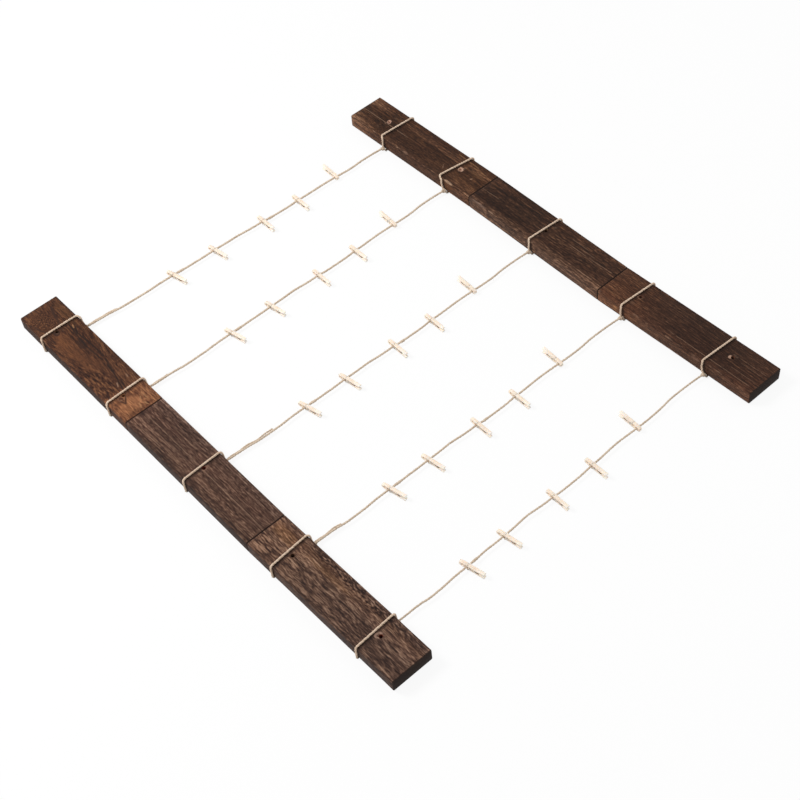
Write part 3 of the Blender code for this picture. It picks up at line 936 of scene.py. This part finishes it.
# The boards, each with its bar, section, node, nail holes and look. Places and sizes are in millimetres.
# colours: deep, dark, mid, light and top of its grain. weights: how much each kind of grain counts.
# along and across: a place in percent, from its far end or its -X edge, and how light it is there, in percent.
# gather: where its lines draw together, from y to y, and how much. patches and rims: middle, size, how ragged or
# hollow, colour, strength. burls: middle, size, turn, strength and fineness of the speckles.
# strokes: a shade, then places with width and strength, up to the place where the stroke ends.
boards = {
    "leftFarBoard": {
        "side": -1, "section": 0, "node": "left_bar_far_section",
        "holes": ((-289, 318.8, "darkHole"), (-289, 168.1, "brownHole")),
        "seed": 1.3, "wave": 0.014, "dash": (330, 46), "line": (260, 8), "wear": 0.25,
        "tint": (0.63, 0.566, 0.518), "sideTint": (0.36, 0.35, 0.37),
        "colours": ((44, 26, 19), (66, 41, 30), (90, 60, 44), (116, 82, 60), (156, 116, 84)),
        "weights": (0.5, 0.45, 0.15, 1, 0.22, 0.75),
        "along": (
            (0, 97, 92, 86), (20, 100, 95, 88), (26, 100, 93, 85), (45, 89, 83, 79), (58, 80, 74, 73),
            (68, 98, 93, 92), (80, 105, 102, 100), (82, 225, 220, 210), (100, 230, 228, 216),
        ),
        "across": ((0, 98, 92, 86), (30, 98, 95, 88), (45, 85, 82, 80), (65, 100, 97, 95), (100, 94, 94, 96)),
        "gather": (-291, 320, 170, 1.1),
        "patches": (
            ((-292.5, 285), (10.5, 38), 0.25, (108, 70, 47), 0.62),
            ((-289.5, 243), (11, 20), 0.3, (112, 74, 50), 0.5), ((-263, 338), (6, 30), 0.3, (108, 74, 48), 0.5),
            ((-289.5, 149), (18, 12), 0.2, (146, 100, 70), 0.35),
            ((-278, 279), (6, 10), 0.3, (44, 28, 20), 0.6),
        ),
        "strokes": (
            ("dark", (-270, 361.8, 2.6, 0.9), (-275.7, 342.7, 2.2, 0.8), (-279, 327.7)),
            ("dark", (-308, 354.5, 1.6, 0.8), (-304, 337.7, 1.6, 0.8), (-300.5, 327.7)),
            ("black", (-265.7, 312.7, 1.6, 0.9), (-270.7, 297.7, 1.5, 0.85), (-269, 272.7, 1.5, 0.85),
             (-268.7, 242.7, 1.4, 0.8), (-271.7, 226, 1.4, 0.8), (-277.4, 201, 1.4, 0.8), (-283, 177.7)),
            ("black", (-270, 319.3, 1.5, 0.85), (-274, 289.3, 2, 0.85), (-275.7, 269.3, 1.4, 0.75),
             (-274, 236)),
            ("black", (-274, 226, 1.3, 0.8), (-276.5, 209.3)),
            ("black", (-275.7, 192.7, 1.4, 0.8), (-279, 180)),
            ("dark", (-261.5, 272.7, 1.2, 0.7), (-263.2, 252.7)),
            ("dark", (-262.2, 327.7, 1.2, 0.7), (-264, 302.7)), ("dark", (-279.5, 285, 1.2, 0.7), (-280, 265)),
            ("dark", (-285, 169.3, 1.2, 0.9), (-294.5, 154.3, 1.2, 0.9), (-298.5, 170)),
            ("brown", (-306, 170, 1.8, 0.8), (-308.5, 164)), ("golden", (-267.2, 314.3, 1.2, 0.8), (-269, 309)),
            ("light", (-266, 196, 1.1, 0.45), (-267, 189.3)),
            ("light", (-282.5, 191, 1.2, 0.45), (-285.5, 184.3)),
            ("golden", (-270, 156, 1.2, 0.7), (-269, 142.7)), ("golden", (-274, 152, 1.2, 0.7), (-279, 146)),
            ("golden", (-276.5, 142.7, 1.2, 0.7), (-274, 134.3)),
            ("golden", (-281.5, 144.3, 1.2, 0.7), (-284, 136)), ("brown", (-272, 144, 1, 0.7), (-273, 140)),
            ("brown", (-279, 141, 1, 0.7), (-280, 136)),
        ),
        "burls": (
            ((-292.5, 345), (15.5, 20), 0.5, 1.25, (640, 420)),
            ((-298.5, 212), (14, 50), -0.1, 1.5, (520, 120)), ((-274, 142), (8.5, 10), 0.5, 1.1, (430, 170)),
        ),
        "rims": (
            ((-290.5, 316.5), (5, 4.2), 0, (46, 28, 22), 0.85),
            ((-293.5, 165.5), (4.8, 4), 0.45, (128, 92, 70), 0.5),
        ),
    },
    "leftMiddleBoard": {
        "side": -1, "section": 1, "node": "left_bar_middle_section",
        "holes": ((-284.8, 5.9, "redHole"),),
        "seed": 4.1, "wave": 0.003, "dash": (760, 60), "line": (680, 3.4), "wear": 0.35,
        "tint": (0.63, 0.586, 0.549), "sideTint": (0.62, 0.58, 0.58),
        "colours": ((48, 33, 27), (71, 50, 41), (91, 67, 57), (112, 87, 76), (160, 132, 114)),
        "weights": (0.4, 0.85, 0.35, 1, 0.1, 1.1),
        "along": ((0, 105, 100, 100), (30, 80, 79, 80), (45, 98, 96, 95), (100, 100, 100, 100)),
        "across": (
            (0, 70, 64, 60), (25, 124, 120, 113), (42, 79, 75, 73), (58, 96, 89, 86), (75, 88, 85, 84),
            (100, 145, 155, 164),
        ),
        "gather": None,
        "patches": (
            ((-311.5, 58.2, 16.8), (3, 3.5, 2.2), 0.15, (150, 126, 112), 0.6),
            ((-312.2, -32.2, 14.5), (3, 5.5, 2.2), 0.2, (150, 126, 112), 0.55),
            ((-312.2, -59, 14.5), (3, 5.5, 2.4), 0.2, (150, 126, 112), 0.6),
        ),
        "strokes": (
            ("light", (-285.5, 125, 0.6, 0.4), (-286.2, 15)), ("light", (-287.2, 4, 0.6, 0.4), (-288.5, -110)),
            ("light", (-273.5, 85, 0.6, 0.4), (-274.5, 35)), ("light", (-303.5, 110, 0.6, 0.4), (-303.2, 70)),
            ("dark", (-272.5, 125, 1.3, 0.6), (-273.5, 60)), ("dark", (-289.5, 90, 1.2, 0.6), (-290.5, 20)),
            ("dark", (-293, 0, 1.3, 0.6), (-295, -100)), ("dark", (-277.5, -20, 1.2, 0.5), (-278.5, -110)),
        ),
        "burls": (),
        "rims": (((-283.5, 5.2), (4.2, 3.2), 0.5, (132, 100, 82), 0.6),),
    },
    "leftNearBoard": {
        "side": -1, "section": 2, "node": "left_bar_near_section",
        "holes": ((-287, -165.4, "darkHole"), (-284, -314, "redHole")),
        "seed": 7.7, "wave": 0.008, "dash": (470, 36), "line": (400, 9), "wear": 0.2,
        "tint": (0.673, 0.666, 0.731), "sideTint": (0.6, 0.56, 0.56),
        "colours": ((44, 29, 23), (72, 51, 40), (97, 72, 58), (138, 108, 86), (178, 146, 120)),
        "weights": (0.65, 0.45, 0.25, 1, 0.15, 0.9),
        "along": (
            (0, 128, 120, 112), (18, 112, 108, 102), (30, 100, 98, 95), (62, 100, 100, 100), (80, 92, 92, 92),
            (100, 98, 98, 100),
        ),
        "across": (
            (0, 76, 72, 69), (30, 88, 85, 82), (46, 105, 105, 102), (62, 120, 115, 108), (78, 100, 92, 82),
            (86, 82, 80, 79), (100, 91, 87, 87),
        ),
        "gather": None,
        "patches": (
            ((-275.8, -140), (8, 20), 0.3, (150, 112, 74), 0.2),
            ((-274.5, -215), (4, 40), 0.3, (140, 104, 70), 0.22),
            ((-281.2, -228), (3.5, 7), 0.3, (52, 36, 28), 0.7),
            ((-281.5, -247), (3.5, 6), 0.3, (54, 38, 30), 0.6),
            ((-269, -185), (4, 60), 0.25, (66, 44, 34), 0.45),
        ),
        "strokes": (
            ("black", (-288, -115, 1.2, 0.8), (-288.2, -133)),
            ("dark", (-281.2, -118, 0.9, 0.7), (-281.5, -133)),
            ("light", (-292, -164, 1.1, 0.7), (-292.5, -180)), ("light", (-273, -185, 1, 0.6), (-274, -200)),
            ("light", (-306.2, -120, 1, 0.5), (-306, -142)), ("light", (-286, -302, 1, 0.6), (-283, -309)),
            ("light", (-309, -338, 1.2, 0.6), (-310, -358)),
        ),
        "burls": (
            ((-263.5, -250), (6.2, 85), -0.6, 2, (560, 150)), ((-290, -135), (25, 28), 0.05, 1.4, (620, 105)),
            ((-288, -345), (22, 28), 0.05, 1.2, (620, 95)),
        ),
        "rims": (
            ((-287.2, -165.2), (4.6, 5), 0, (74, 50, 35), 0.7),
            ((-285.2, -311.8), (4.2, 4), 0.55, (170, 136, 118), 0.6),
        ),
    },
    "rightFarBoard": {
        "side": 1, "section": 0, "node": "right_bar_far_and_middle_sections",
        "holes": ((283.6, 314.1, "paleHole"), (285.7, 166.4, "paleHole")),
        "seed": 11.9, "wave": 0.004, "dash": (430, 30), "line": (420, 5), "wear": 0.6,
        "tint": (0.768, 0.668, 0.568), "sideTint": (1, 0.94, 0.9),
        "colours": ((34, 22, 16), (56, 38, 29), (70, 50, 40), (94, 70, 57), (130, 102, 84)),
        "weights": (0.2, 0.7, 0.25, 0.9, 0.1, 0.8),
        "along": (
            (0, 190, 200, 196), (12, 110, 105, 98), (20, 68, 61, 52), (32, 90, 84, 77), (46, 74, 69, 65),
            (60, 86, 79, 74), (72, 93, 90, 86), (80, 98, 91, 82), (100, 134, 128, 116),
        ),
        "across": (
            (0, 152, 158, 162), (22, 78, 72, 66), (40, 73, 68, 62), (62, 63, 55, 47), (76, 166, 168, 166),
            (94, 106, 90, 74), (100, 55, 52, 48),
        ),
        "gather": None,
        "patches": (
            ((256, 248, 21), (2.2, 6, 2.2), 0.2, (146, 116, 98), 0.35),
            ((256.2, 160, 21), (2.2, 9, 2.2), 0.25, (160, 132, 112), 0.7),
            ((255.1, 164, 10), (3, 16, 9), 0.3, (98, 66, 44), 0.4),
            ((292.5, 143), (4, 14), 0.4, (112, 84, 62), 0.3),
        ),
        "strokes": (
            ("light", (278.8, 360, 0.9, 0.32), (279.3, 270)), ("brown", (288.5, 352, 1, 0.6), (289.5, 325)),
            ("brown", (279.7, 270, 0.9, 0.6), (280, 235)), ("golden", (301, 155, 1, 0.5), (300.5, 130)),
            ("golden", (305.5, 190, 1, 0.5), (304.5, 150)), ("light", (281, 142, 1.1, 0.6), (283.5, 140.5)),
            ("light", (270, 186, 0.8, 0.35), (276, 191)),
        ),
        "burls": (),
        "rims": (
            ((283.2, 314), (4, 3.6), 0, (168, 132, 116), 0.9),
            ((285.5, 166.2), (4.6, 4.6), 0, (182, 146, 126), 0.95),
        ),
    },
    "rightMiddleBoard": {
        "side": 1, "section": 1, "node": None,
        "holes": ((282, -3.6, "darkHole"),),
        "seed": 15.2, "wave": 0.004, "dash": (560, 42), "line": (520, 5.4), "wear": 0.6,
        "tint": (0.704, 0.606, 0.522), "sideTint": (1.29, 1.32, 1.37),
        "colours": ((32, 21, 17), (50, 35, 28), (63, 46, 38), (88, 67, 56), (136, 110, 94)),
        "weights": (0.2, 0.7, 0.25, 0.9, 0.08, 0.8),
        "along": (
            (0, 92, 86, 82), (30, 70, 66, 62), (50, 102, 98, 93), (80, 100, 96, 93), (100, 128, 122, 116),
        ),
        "across": (
            (0, 186, 200, 205), (20, 92, 84, 80), (45, 94, 90, 85), (72, 68, 61, 56), (84, 98, 89, 80),
            (93, 100, 88, 78), (100, 57, 55, 53),
        ),
        "gather": None,
        "patches": (
            ((256, 100, 21.2), (1.8, 14, 1.8), 0.2, (140, 114, 100), 0.4),
            ((302.5, 100), (3, 10), 0.4, (112, 80, 60), 0.3), ((296.8, 108), (2, 10), 0.4, (120, 88, 66), 0.4),
        ),
        "strokes": (
            ("light", (285.5, -45, 0.62, 0.31), (284.8, -80, 0.62, 0.34), (286.2, -120)),
            ("light", (280.5, 117, 0.62, 0.28), (281.2, 85)), ("light", (290.5, -60, 0.62, 0.31), (290, -85)),
            ("light", (295.5, -40, 0.62, 0.28), (295, -70)), ("light", (259.8, -85, 0.74, 0.37), (259.2, -108)),
            ("brown", (277, 55, 0.56, 0.37), (277.2, 30)),
        ),
        "burls": (),
        "rims": (((282.6, -3), (2.6, 1.3), 0, (150, 124, 74), 0.7),),
    },
    "rightNearBoard": {
        "side": 1, "section": 2, "node": "right_bar_near_section",
        "holes": ((281.2, -173.8, "mutedHole"), (285, -321.9, "mutedHole")),
        "seed": 19.6, "wave": 0.003, "dash": (620, 22), "line": (640, 3.2), "wear": 0.4,
        "tint": (0.674, 0.63, 0.565), "sideTint": (1.46, 1.6, 1.63),
        "colours": ((34, 22, 17), (54, 36, 28), (69, 48, 39), (92, 67, 55), (132, 102, 84)),
        "weights": (0.2, 0.62, 0.2, 0.72, 0.06, 0.72),
        "along": (
            (0, 166, 152, 132), (20, 118, 106, 94), (35, 93, 91, 90), (60, 74, 71, 70), (80, 78, 75, 73),
            (100, 130, 124, 122),
        ),
        "across": (
            (0, 134, 120, 112), (25, 99, 91, 85), (50, 84, 76, 70), (80, 90, 86, 82), (95, 96, 88, 82),
            (100, 57, 55, 55),
        ),
        "gather": None,
        "patches": (
            ((255.1, -156, 12), (3, 14, 8), 0.3, (112, 82, 58), 0.5),
            ((256.2, -290, 18), (3, 10, 3), 0.3, (120, 92, 78), 0.5),
        ),
        "strokes": (
            ("light", (263.2, -235, 0.68, 0.31), (263.6, -365)),
            ("golden", (261.5, -128, 0.62, 0.25), (262.5, -165)),
            ("light", (290, -330, 0.62, 0.22), (290.5, -368)),
            ("light", (285, -335, 0.56, 0.19), (285.2, -368)),
            ("light", (272, -330, 0.56, 0.22), (272.5, -368)),
        ),
        "burls": (),
        "rims": (
            ((281.2, -173.8), (4.2, 4), 0.6, (80, 52, 42), 0.5),
            ((283.6, -319.2), (2.8, 2.4), 0, (182, 146, 124), 0.75),
        ),
    },
}


def planeBoard(name, about, far, near):
    side = about["side"]
    length, middleY = far - near, (far + near) / 2
    middle = (side * (bars["innerFace"] + bars["width"] / 2), middleY, bars["bottom"] + bars["thickness"] / 2)
    board = newBlock(name, (bars["width"], length, bars["thickness"]), middle)
    edit(board)
    pick(board, "EDGE", lambda a, b: abs(a.y - b.y) > length / 2)
    bpy.ops.mesh.bevel(offset=bars["corner"], segments=wood["roundSteps"], profile=0.5)
    pick(board, "EDGE", lambda a, b: abs(a.y - b.y) > length / 2)
    bpy.ops.mesh.subdivide(number_cuts=wood["ringsAlong"])
    pick(board, "EDGE", lambda a, b: abs(a.y - b.y) < 1e-5 and min(abs(a.y - far), abs(a.y - near)) < 1e-5)
    bpy.ops.mesh.bevel(offset=wood["endEase"], segments=2, profile=0.5)
    leaveEdit()

    inner = board.vertex_groups.new(name="inner")
    margin = wood["evenEnd"]
    inner.add([v.index for v in board.data.vertices if near + margin < v.co.y < far - margin], 1.0, "REPLACE")
    clouds = bpy.data.textures.new(f"{name}Clouds", "CLOUDS")
    clouds.noise_scale = wood["cloudSize"]
    useModifier(board, "DISPLACE", texture=clouds, strength=wood["uneven"], mid_level=0.5, vertex_group="inner")
    board.vertex_groups.clear()

    # The board leans with its bar's sway, so that it still meets its neighbours squarely
    farSway, nearSway = swayAt(side, far - 0.0005), swayAt(side, near + 0.0005)
    lean = Matrix.Identity(4)
    lean[0][1] = (farSway - nearSway) / length
    lean[0][3] = (farSway + nearSway) / 2 - lean[0][1] * middleY
    board.data.transform(lean)

    for x, y, look in about["holes"]:
        cutAway(board, newRod("nailHole", wood["holeRadius"], 0.03, (x / 1000, y / 1000, middle[2]), sides=20))
        mouth = (wood["holeRadius"] * 0.9, 0.0012, (x / 1000, y / 1000, top))
        cutAway(board, newRod("mouth", *mouth, sides=20, topRadius=wood["mouthRadius"]))
    smoothByAngle(board, 32)
    return board


def markWearAndSheen(mesh):
    # How much each point lies on a rounded arris, for the worn edges and the painted highlights along them
    wear = mesh.attributes.new("edgeWear", "FLOAT", "POINT")
    for vert, spot in zip(mesh.vertices, wear.data):
        n = vert.normal
        spot.value = min(1.0, 2 * max(abs(n.x * n.z), abs(n.x * n.y), abs(n.y * n.z)))


def grainGroup():
    # Every kind of grain in the boards, from wide bands to grit
    inputs = {
        "Place": (0, 0, 0), "Seed": 0.0, "Wave": 0.002, "Dash Scale": (400, 45, 400), "Line Scale": (300, 5, 300),
    }
    group, given, out = newGroup("boardGrain", inputs, (*grainKinds, "Pores"))
    seed = given["Seed"]
    moved = given["Place"] + addNode(group, "CombineXYZ", {0: seed, 1: seed, 2: seed})
    bend = (moved.grain((30, 11, 30), 2, 0.5) - 0.5) * given["Wave"]
    wavy = moved + addNode(group, "CombineXYZ", {0: bend, 2: bend})
    grains = (
        wavy.grain(given["Dash Scale"], 2, 0.6),
        wavy.grain(given["Line Scale"], 3, 0.6),
        wavy.grain((78, 3.2, 78), 2, 0.5),
        wavy.grain((900, 85, 900), 3, 0.65),
        moved.grain((36, 16, 36), 3, 0.55),
        wavy.grain((1350, 170, 1350), 2, 0.6),
        wavy.grain((1700, 95, 1700), 2, 0.5).between(0.60, 0.70),
    )
    for label, grain in zip((*grainKinds, "Pores"), grains):
        feed(out[label], grain)
    return group


def strokeGroup():
    # A ragged stroke from one place to another
    inputs = {
        "Place": (0, 0, 0), "Start": (0, 0, 0), "End": (0, 0.01, 0), "Width": 0.001, "Wobble": 0.003, "Broken": 0.4,
    }
    group, given, out = newGroup("strokeMark", inputs, ("Mark",))
    ragged = newNode(group, "TexNoise", {"Vector": given["Place"], "Scale": 210.0, "Detail": 2.0}).outputs
    wobble = (Value(ragged["Color"]) - (0.5, 0.5, 0.5)).scaled(given["Wobble"])
    toSpot = given["Place"] + wobble - given["Start"]
    whole = given["End"] - given["Start"]
    run = toSpot.reckon("DOT_PRODUCT", whole, output=1)
    share = run.reckon("DIVIDE", whole.reckon("DOT_PRODUCT", whole, output=1), use_clamp=True)
    gap = (toSpot - whole.scaled(share)).reckon("LENGTH", output=1)
    near = (1.0 - gap.reckon("DIVIDE", given["Width"])).reckon("MAXIMUM", 0.0)
    taper = share * (1.0 - share) * 2.0 + 0.5
    chips = Value(ragged[0]).between(given["Broken"], given["Broken"] + 0.12)
    feed(out["Mark"], (near * taper * 2.0).reckon("MULTIPLY", chips, use_clamp=True))
    return group


def patchGroup():
    # A torn round patch, or a ring where it is hollow
    inputs = {"Place": (0, 0, 0), "Centre": (0, 0, 0), "Spread": (100, 100, 100), "Ragged": 0.3, "Hollow": 0.0}
    group, given, out = newGroup("patchMark", inputs, ("Mask",))
    away = (given["Place"] - given["Centre"]) * given["Spread"]
    torn = (given["Place"].grain(150, 3, 0.6) - 0.5) * (given["Ragged"] * 4.0)
    reach = away.reckon("LENGTH", output=1) + torn
    hole = reach.between(given["Hollow"] - 0.15, given["Hollow"] + 0.1)
    feed(out["Mask"], reach.between(1.15, 0.75) * hole)
    return group


def placeOf(x, y, z=None):
    return (x / 1000, y / 1000, top if z is None else z / 1000)


def spreadOf(wide, long, deep=None):
    return (1000 / wide, 1000 / long, 1000 / (deep or max(wide, 4)))


def shareRamp(share, stops):
    # A ramp's colours end at 1, so they are stored at a third of their strength
    return share.ramp([(place / 100, (*(c / 300 for c in tint), 1)) for place, *tint in stops]).tinted((3, 3, 3))


def stainedLook(tree, place, about, far, near, groups):
    side = about["side"]
    x, y, z = outputsOf(newNode(tree, "SeparateXYZ", {0: place})).values()

    def patchAt(centre, size, ragged, hollow=-1.0):
        return useGroup(tree, groups["patch"], {
            "Place": place, "Centre": placeOf(*centre), "Spread": spreadOf(*size), "Ragged": ragged, "Hollow": hollow,
        })["Mask"]

    def strokeAt(start, end, width, wobble=0.0014, broken=0.3):
        return useGroup(tree, groups["stroke"], {
            "Place": place, "Start": start, "End": end, "Width": width, "Wobble": wobble, "Broken": broken,
        })["Mark"]

    flow = place
    if about["gather"]:
        middle, fromY, toY, amount = about["gather"]
        pull = y.between(fromY / 1000, toY / 1000, 0.0, amount, "SMOOTHSTEP")
        flow = place + addNode(tree, "CombineXYZ", {0: (x - middle / 1000) * pull})
    (dashX, dashY), (lineX, lineY) = about["dash"], about["line"]
    pattern = useGroup(tree, groups["grain"], {
        "Place": flow, "Seed": about["seed"], "Wave": about["wave"],
        "Dash Scale": (dashX, dashY, dashX), "Line Scale": (lineX, lineY, lineX),
    })
    tone = 0.5
    for label, weight in zip(grainKinds, about["weights"]):
        tone = (pattern[label] - 0.5) * weight + tone
    for centre, size, turn, strength, (fineX, fineY) in about["burls"]:
        turned = addNode(tree, "Mapping", {
            "Vector": place, "Rotation": (0, 0, turn), "Scale": (fineX, fineY, fineX),
        })
        speckle = (turned.grain(1.0, 2, 0.6) - 0.5) * strength + 0.49
        tone = addNode(tree, "Mix", {0: patchAt(centre, size, 0.25), 2: tone, 3: speckle})
    colour = tone.painted(*((stop, *shade) for stop, shade in zip(wood["toneStops"], about["colours"])))
    colour = colour.tinted(about["tint"])
    for centre, size, ragged, shade, strength in about["patches"]:
        share = patchAt(centre, size, ragged) * strength * tone.between(0.36, 0.62, 0.45, 1.0)
        colour = colour.mixed(share, paint(*shade))
    drift = (pattern["Lines"] - 0.5) * 0.02
    leftEdge = bars["innerFace"] if side > 0 else -bars["innerFace"] - bars["width"]
    colour = colour.tinted(shareRamp((y + drift).between(far, near), about["along"]))
    across = (x + drift * 0.2).between(leftEdge, leftEdge + bars["width"])
    colour = colour.tinted(shareRamp(across, about["across"]))
    for shade, *spots in about["strokes"]:
        for (startX, startY, width, strength), end in zip(spots, spots[1:]):
            mark = strokeAt(placeOf(startX, startY), placeOf(*end[:2]), width / 1000)
            colour = colour.mixed(mark * strength, shades[shade])

    # Painted shadow of the twine: a dark strip beside each wrap, over the top and down the inner face
    for row in range(rows):
        knotY, innerY, outerY, sideY = crossings(row, side)
        if near < knotY < far:
            dropY = knotY + tied[side]["drop"][row] - wood["belowKnot"]
            innerTop, outerTop = innerY - wood["besideTwine"], outerY - wood["besideTwine"]
            innerX = side * bars["innerFace"] + swayAt(side, knotY)
            outerX = innerX + side * bars["width"]
            for start, end in (
                ((innerX, innerTop, top), (outerX, outerTop, top)),
                ((innerX, dropY, top), (innerX, dropY, bars["bottom"])),
            ):
                colour = colour.mixed(strokeAt(start, end, wood["shadeWidth"], 0.001, -1.0) * 0.55, shades["black"])
    # Painted light and shade: below the arris, the side faces are made darker or lighter, board by board, as the
    # light falls on them
    lower = z.between(top - wood["sideStart"], top - wood["sideStart"] - 0.0012)
    colour = colour.mixed(lower * tone.between(0.3, 0.6, 1.0, 0.85), colour.tinted(about["sideTint"]))
    for centre, size, hollow, shade, strength in about["rims"]:
        colour = colour.mixed(patchAt(centre, size, 0.5, hollow or -1.0) * strength, paint(*shade))
    colour = colour.mixed(pattern["Pores"] * 0.4, shades["black"])
    # The rounded arrises are lightened in rubbed flecks: partly worn edges, partly painted highlights along them
    rubbed = place.grain((150, 60, 150), 4, 0.65).between(0.55, 0.66)
    rub = attributeOf(tree, "edgeWear").between(0.3, 0.9).reckon("MULTIPLY", rubbed, use_clamp=True)
    colour = colour.mixed(rub * about["wear"], shades["light"])
    # Painted shade: the last millimetre at each end of the board is darkened, standing for the shade in the seams'
    # narrow gaps
    fromEnd = (far - y).reckon("MINIMUM", y - near)
    return {
        "Base Color": colour.mixed(fromEnd.between(0.0012, 0.0007, 0.0, 0.85), shades["black"]),
        "Roughness": pattern["Fine"].between(0.3, 0.7, 0.55, 0.75),
        "Specular IOR Level": 0.12,
        "Normal": bumped(pattern["Dashes"] * 0.5 + pattern["Fine"] * 0.5 + pattern["Pores"] * -0.6, 0.35, 0.0002),
    }


def sawnLook(tree, place):
    dots = place.grain((900, 60, 900), 4, 0.7)
    tone = dots * 0.6 + place.grain((60, 10, 420), 3, 0.6) * 0.4
    return {
        "Base Color": tone.painted((0.3, 24, 18, 16), (0.5, 40, 31, 27), (0.72, 58, 45, 38)),
        "Roughness": dots.between(0.3, 0.7, 0.7, 0.85),
        "Specular IOR Level": 0.1,
        "Normal": bumped(dots, 0.4, 0.0002),
    }


def holeLook(tree, place, darker, lighter):
    rings = place.grain((300, 300, 1500), 3, 0.6)
    return {
        "Base Color": rings.painted((0.35, *darker), (0.65, *lighter)), "Roughness": 0.85, "Specular IOR Level": 0.1,
    }


def layBoards():
    groups = {"grain": grainGroup(), "stroke": strokeGroup(), "patch": patchGroup()}
    bare = [newMaterial("sawnEnd", sawnLook)]
    bare += [newMaterial(name, holeLook, *shadePair) for name, shadePair in holeShades.items()]
    lookNumbers = {name: number + 2 for number, name in enumerate(holeShades)}
    for name, about in boards.items():
        far, near = boardEnds(about["side"], about["section"])
        board = planeBoard(name, about, far, near)
        mesh = board.data
        mesh.materials.clear()
        for material in (newMaterial(f"{name}Stain", stainedLook, about, far, near, groups), *bare):
            mesh.materials.append(material)
        holes = [(Vector((x / 1000, y / 1000)), lookNumbers[look]) for x, y, look in about["holes"]]
        for face in mesh.polygons:
            centre = face.center
            nearHole, number = min(((spot - centre.xy).length, number) for spot, number in holes)
            if abs(face.normal.y) > 0.95 and min(abs(centre.y - far), abs(centre.y - near)) < 0.0006:
                face.material_index = 1
            elif nearHole < wood["mouthRadius"] and abs(face.normal.z) < 0.9 and centre.z < top + 0.0001:
                face.material_index = number
        markWearAndSheen(mesh)
        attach(board, "frame")
        if about["node"]:
            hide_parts(about["node"])


layBoards()
print("boards stained")


# Table and light

studio = {
    "tableSize": 6.0,
    "tableTop": -0.0002,
    "tableGlow": 0.9,
    "skyLevel": 0.55,
    "lamps": {"keyLamp": ((-1.1, 1.2, 1.9), 0.9, 42), "fillLamp": ((1.2, -0.9, 1.8), 1.6, 7)},
}
white = (1, 1, 1, 1)


def showBright(tree, share, plain, bright, end):
    # The camera sees more of the bright side than the lamps' light gives
    path = outputsOf(newNode(tree, "LightPath", {}))
    seen = path["Is Camera Ray"].reckon("MAXIMUM", path["Is Glossy Ray"])
    seen = seen.reckon("MAXIMUM", path["Is Transmission Ray"])
    feed(tree.nodes[end].inputs["Surface"], addNode(tree, "MixShader", {0: seen * share, 1: plain, 2: bright}))


def setTable():
    bpy.ops.mesh.primitive_plane_add(size=studio["tableSize"], location=(0, 0, studio["tableTop"]))
    table = bpy.context.active_object
    table.name = "table"
    material = newMaterial("paleTable", lambda tree, place: {"Base Color": (0.86, 0.86, 0.86, 1), "Roughness": 0.9})
    tree = material.node_tree
    plain = Value(tree.nodes["Principled BSDF"].outputs[0])
    glow = addNode(tree, "Emission", {"Color": white, "Strength": 1.0})
    showBright(tree, studio["tableGlow"], plain, glow, "Material Output")
    table.data.materials.append(material)


def setSky():
    world = bpy.data.worlds.new("studioSky")
    bpy.context.scene.world = world
    world.use_nodes = True
    tree = world.node_tree
    sky = tree.nodes["Background"]
    sky.inputs["Color"].default_value = white
    sky.inputs["Strength"].default_value = studio["skyLevel"]
    bright = addNode(tree, "Background", {"Color": white, "Strength": 1.0})
    showBright(tree, 1.0, Value(sky.outputs[0]), bright, "World Output")


def addLamp(name, place, size, power):
    light = bpy.data.lights.new(name, "AREA")
    light.shape = "DISK"
    light.size = size
    light.energy = power
    lamp = addObject(name, light)
    lamp.location = place
    lamp.rotation_euler = (-Vector(place)).to_track_quat("-Z", "Y").to_euler()


setTable()
setSky()
for name, (place, size, power) in studio["lamps"].items():
    addLamp(name, place, size, power)
bpy.context.scene.view_settings.view_transform = "Standard"
print("table and lamps set")
